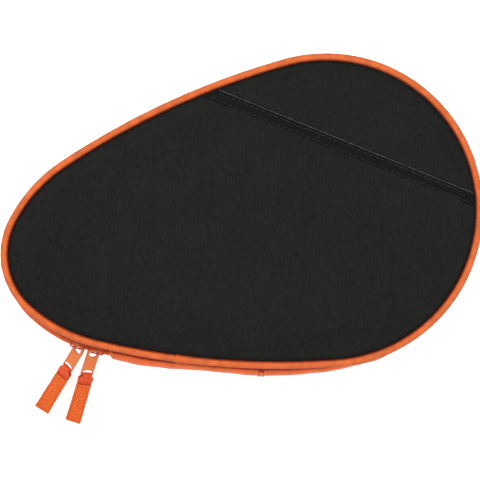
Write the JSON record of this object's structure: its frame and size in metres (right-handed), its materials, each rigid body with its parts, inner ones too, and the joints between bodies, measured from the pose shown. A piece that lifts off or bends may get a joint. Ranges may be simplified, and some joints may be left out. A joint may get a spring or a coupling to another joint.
{
  "type": "paddle case",
  "caption": "Egg-shaped padded zip case for a table-tennis racket, with a front pocket, contrast piping, a fabric hinge and two zip sliders with tagged pulls.",
  "frame": {"origin": "middle of the back panel's flat resting face, at the centre of the egg outline's length", "axes": "+X along the case to its wide head, -Y to the fabric hinge and the zip sliders, +Z through the thickness to the front pocket"},
  "size_m": [0.3018, 0.2028, 0.0386],
  "materials": {
    "black_nylon": "fine woven nylon, matt with a faint sheen",
    "black_lining": "thin plain-woven lining",
    "grey_foam": "closed-cell foam sheet, hidden inside",
    "orange_nylon": "woven nylon, satin",
    "white_cord": "piping cord, hidden inside",
    "orange_tape": "herringbone zip tape",
    "orange_coil": "nylon zip coil",
    "orange_metal": "glossy paint, worn at the edges",
    "orange_strap": "textured strap",
    "orange_thread": "sewing thread",
    "black_thread": "sewing thread"
  },
  "bodies": {
    "back_half": {"back_panel": "black_nylon", "back_foam": "grey_foam", "back_lining": "black_lining", "back_piping": "orange_nylon", "back_piping_core": "white_cord", "back_piping_joint": "orange_nylon", "back_zip_tape": "orange_tape", "back_zip_coil": "orange_coil", "gusset_tail_length": "orange_nylon", "gusset_head_length": "orange_nylon", "gusset_seam_strip": "orange_nylon"},
    "front_half": {"front_panel": "black_nylon", "front_foam": "grey_foam", "front_lining": "black_lining", "front_piping": "orange_nylon", "front_piping_core": "white_cord", "front_piping_joint": "orange_nylon", "front_zip_tape": "orange_tape", "front_zip_coil": "orange_coil", "pocket_panel": "black_nylon", "pocket_hem": "black_nylon", "pocket_stitching": "black_thread"},
    "slider_a": {"slider_a_body": "orange_metal", "slider_a_bail": "orange_metal"},
    "pull_a": {"pull_a_plate": "orange_metal"},
    "tag_a": {"pull_a_tag": "orange_strap", "pull_a_tag_seam": "orange_thread"},
    "slider_b": {"slider_b_body": "orange_metal", "slider_b_bail": "orange_metal"},
    "pull_b": {"pull_b_plate": "orange_metal"},
    "tag_b": {"pull_b_tag": "orange_strap", "pull_b_tag_seam": "orange_thread"}
  },
  "joints": [
    {"name": "lid", "type": "hinge", "parent": "back_half", "child": "front_half", "pos_m": [0.02883, -0.09573, 0.019], "axis": [0.9914, -0.1305, 0], "range_deg": [0, 110], "deforming": ["gusset_tail_length", "gusset_head_length", "gusset_seam_strip"]},
    {"name": "slider_a_travel", "type": "hinge", "parent": "back_half", "child": "slider_a", "pos_m": [-0.0644, 0.03026, 0.019], "axis": [0, 0, -1], "range_deg": [0, 22]},
    {"name": "slider_b_travel", "type": "slide", "parent": "back_half", "child": "slider_b", "axis": [0.9178, -0.3971, 0], "range_m": [0, 0.002]},
    {"name": "pull_a_lift", "type": "hinge", "parent": "slider_a", "child": "pull_a", "pos_m": [-0.11305, -0.05826, 0.019], "axis": [0.8691, -0.4945, 0], "range_deg": [-40, 0]},
    {"name": "pull_b_lift", "type": "hinge", "parent": "slider_b", "child": "pull_b", "pos_m": [-0.10465, -0.06237, 0.019], "axis": [0.9178, -0.3971, 0], "range_deg": [-40, 0]},
    {"name": "tag_a_fold", "type": "hinge", "parent": "pull_a", "child": "tag_a", "pos_m": [-0.1229, -0.0692, 0.01326], "axis": [0.4909, -0.7082, 0.5074], "range_deg": [-60, 0]},
    {"name": "tag_b_fold", "type": "hinge", "parent": "pull_b", "child": "tag_b", "pos_m": [-0.11142, -0.07544, 0.01326], "axis": [0.8356, -0.2103, -0.5074], "range_deg": [-60, 0]}
  ]
}
